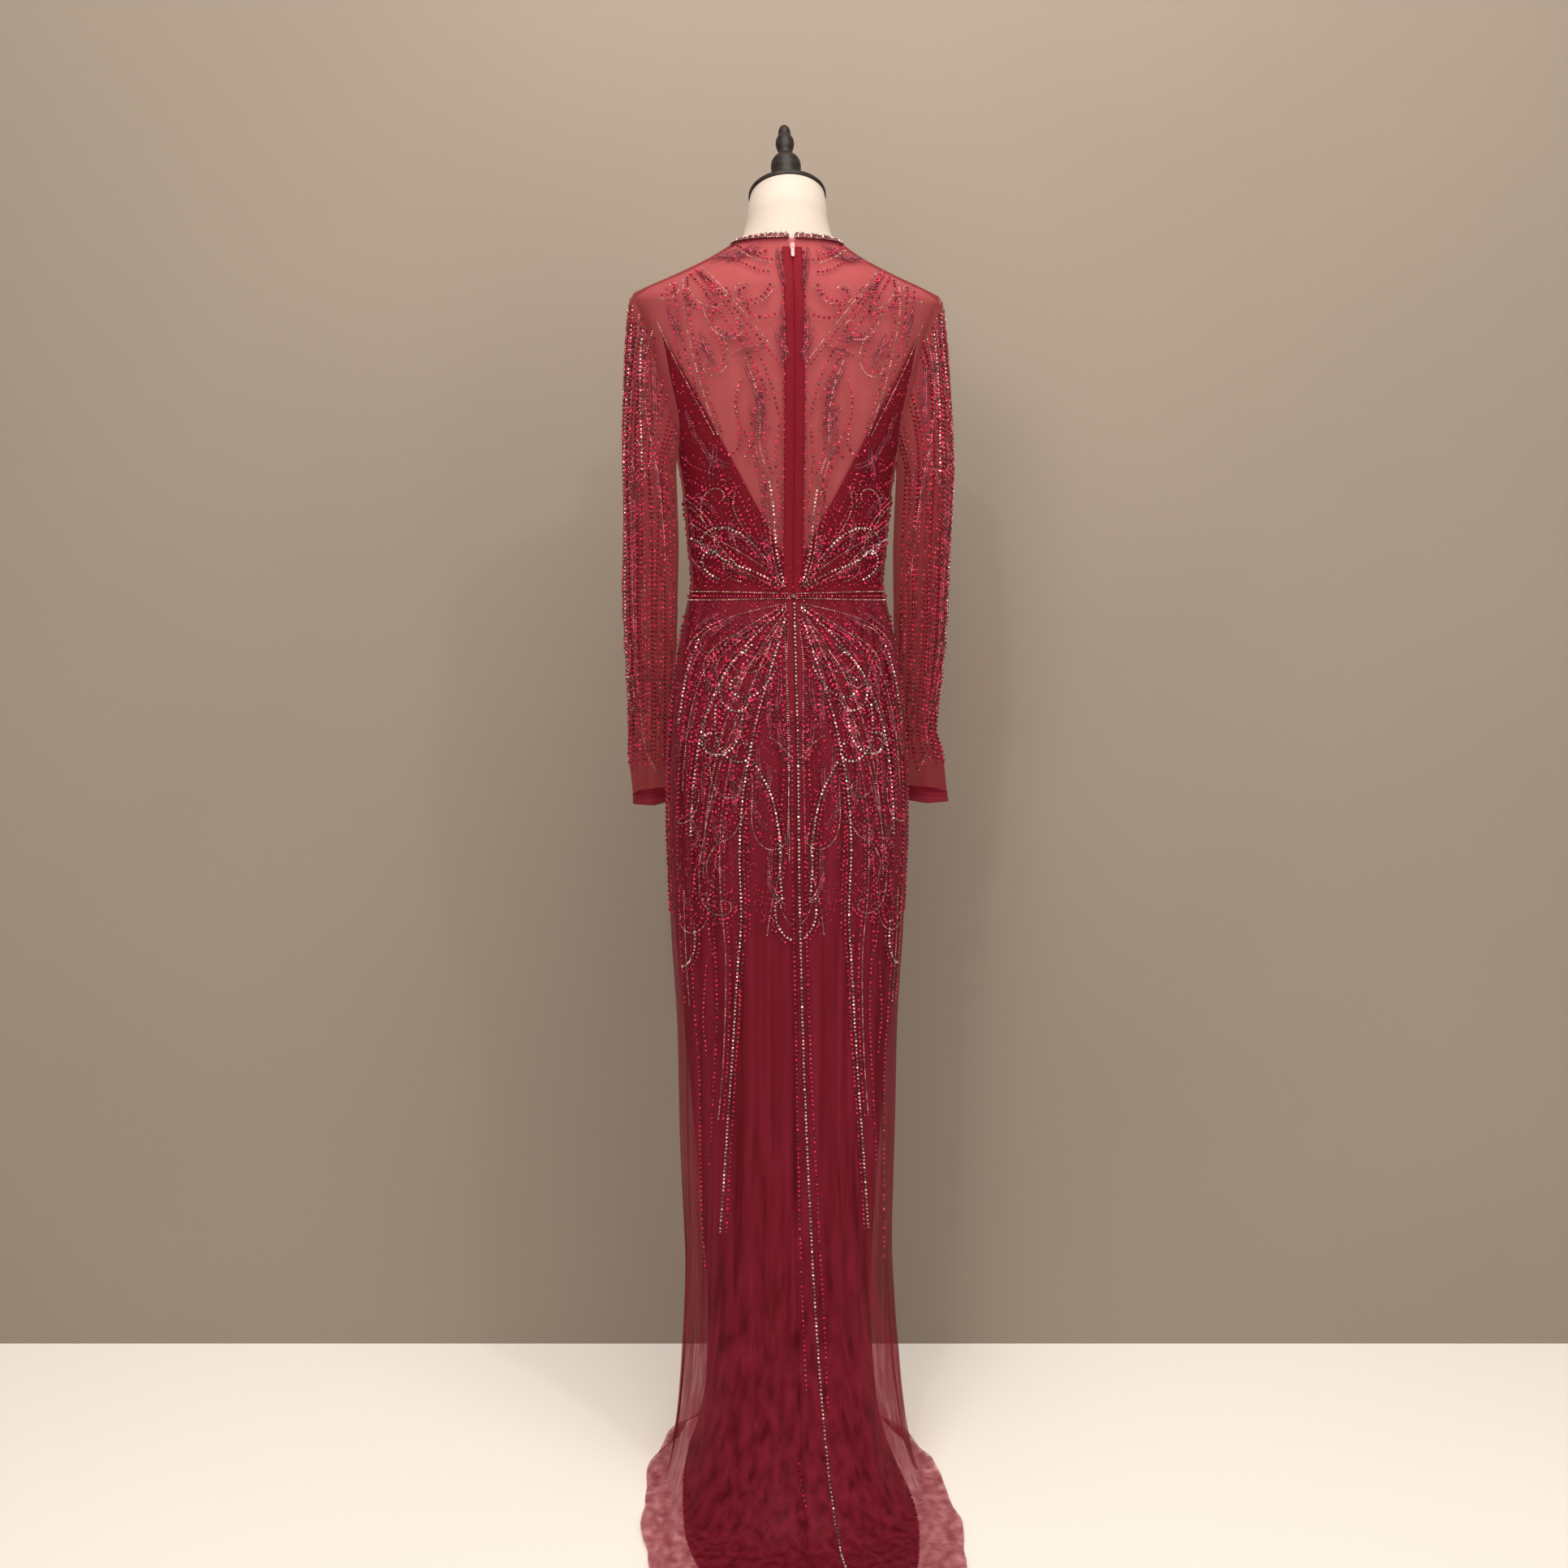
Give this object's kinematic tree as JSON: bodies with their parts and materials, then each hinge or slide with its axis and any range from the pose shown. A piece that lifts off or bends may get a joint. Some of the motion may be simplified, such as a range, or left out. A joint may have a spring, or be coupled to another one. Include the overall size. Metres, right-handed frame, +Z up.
{
  "type": "beaded evening dress on a limbless dress form",
  "caption": "Long-sleeved beaded net evening dress with an open-back lining, a centre-back zip and a short train, standing on a limbless dress form with a turned finial.",
  "frame": {"origin": "on the floor, under the centre of the dress form's round floor plate", "axes": "+Z up; the back of the dress faces -Y and its front +Y; +X is the wearer's right side"},
  "size_m": [0.4104, 0.6412, 1.6622],
  "materials": {
    "net": "sheer claret net with sewn beads",
    "lining": "opaque claret lining, soft sheen",
    "band": "beaded binding",
    "tape": "woven zip tape",
    "zip_metal": "pale pink enamel",
    "form_cloth": "cream linen cover",
    "form_wood": "dark stain, turned and polished",
    "form_steel": "black powder coat"
  },
  "bodies": {
    "root": {"form_torso": "form_cloth", "form_neck_cap": "form_wood", "form_finial": "form_wood", "form_pole": "form_steel", "form_base": "form_steel", "bodice_front": "net", "bodice_back_left": "net", "bodice_back_right": "net", "bodice_lining_front": "lining", "bodice_lining_back_left": "lining", "bodice_lining_back_right": "lining", "neck_binding_left": "band", "neck_binding_right": "band", "zip_tape_left": "tape", "zip_tape_right": "tape", "zip_slider": "zip_metal", "sleeve_left": "net", "sleeve_right": "net", "skirt_net_front": "net", "skirt_net_back_left": "net", "skirt_net_back_right": "net", "skirt_lining_front": "lining", "skirt_lining_back_left": "lining", "skirt_lining_back_right": "lining"},
    "zip_pull": {"zip_pull_tab": "zip_metal"}
  },
  "joints": [
    {"name": "pull_tab_swing", "type": "hinge", "parent": "root", "child": "zip_pull", "pos_m": [0, -0.06676, 1.49978], "axis": [-1, 0, 0], "range_deg": [0, 150]}
  ]
}
